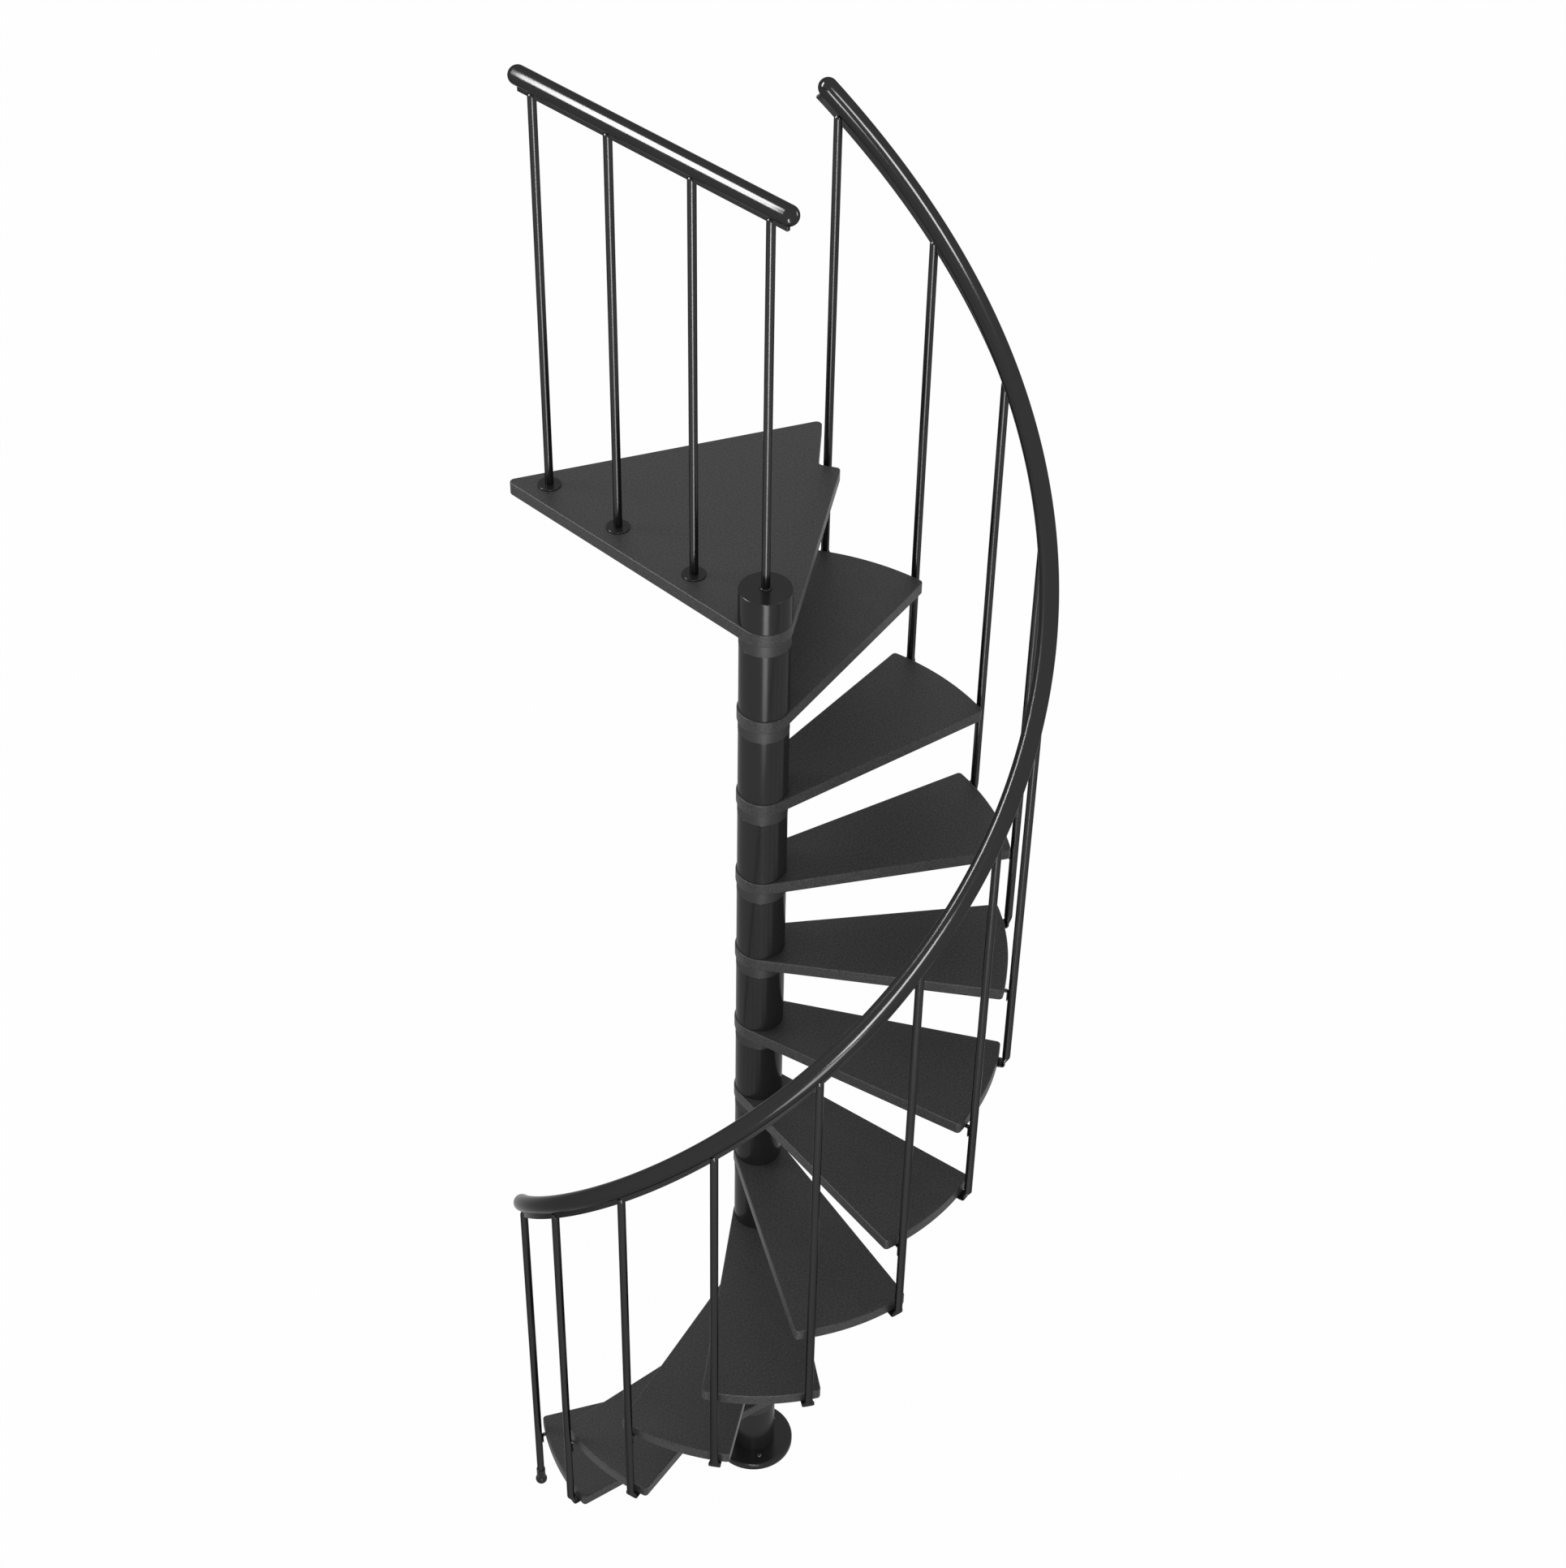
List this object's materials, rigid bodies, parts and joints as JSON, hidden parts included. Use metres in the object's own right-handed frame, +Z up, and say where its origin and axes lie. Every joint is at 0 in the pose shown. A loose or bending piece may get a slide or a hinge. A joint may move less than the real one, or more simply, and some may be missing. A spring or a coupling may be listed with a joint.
{
  "type": "spiral staircase",
  "caption": "Small anticlockwise spiral stair: wedge treads on a round column, rod balusters with a round spiral handrail, and a landing plate with its own rail.",
  "frame": {"origin": "on the column's axis, on the underside of the base flange, at floor level", "axes": "+Z up along the column, +Y towards the wall edge of the landing, +X to the right of someone who faces that wall"},
  "size_m": [1.1555, 1.201, 3.6484],
  "materials": {
    "tread": "matt dark grey powder coat with a very fine grain",
    "baluster": "smooth satin black enamel",
    "column": "glossy black enamel",
    "ring": "satin black enamel",
    "casting": "glossy black, smooth",
    "rail": "satin black rail cover",
    "bar": "satin black flat steel",
    "clip": "satin black steel strip",
    "screw": "zinc plated steel"
  },
  "bodies": {
    "root": {"tread_01": "tread", "tread_02": "tread", "tread_03": "tread", "tread_04": "tread", "tread_05": "tread", "tread_06": "tread", "tread_07": "tread", "tread_08": "tread", "tread_09": "tread", "tread_10": "tread", "tread_11": "tread", "landing_plate": "tread", "baluster_01": "baluster", "baluster_02": "baluster", "baluster_03": "baluster", "baluster_04": "baluster", "baluster_05": "baluster", "baluster_06": "baluster", "baluster_07": "baluster", "baluster_08": "baluster", "baluster_09": "baluster", "baluster_10": "baluster", "baluster_11": "baluster", "baluster_12": "baluster", "landing_baluster_1": "baluster", "landing_baluster_2": "baluster", "landing_baluster_3": "baluster", "newel_baluster": "baluster", "column_spacers": "column", "centre_post": "column", "column_rings": "ring", "base_flange": "casting", "top_cap": "casting", "newel_collar": "casting", "starter_foot": "casting", "baluster_flanges": "casting", "handrail": "rail", "handrail_ends": "rail", "landing_handrail": "rail", "landing_handrail_ends": "rail", "handrail_bar": "bar", "landing_handrail_bar": "bar", "upper_clips": "clip", "foot_screws": "screw", "clip_screws": "screw"}
  },
  "joints": []
}
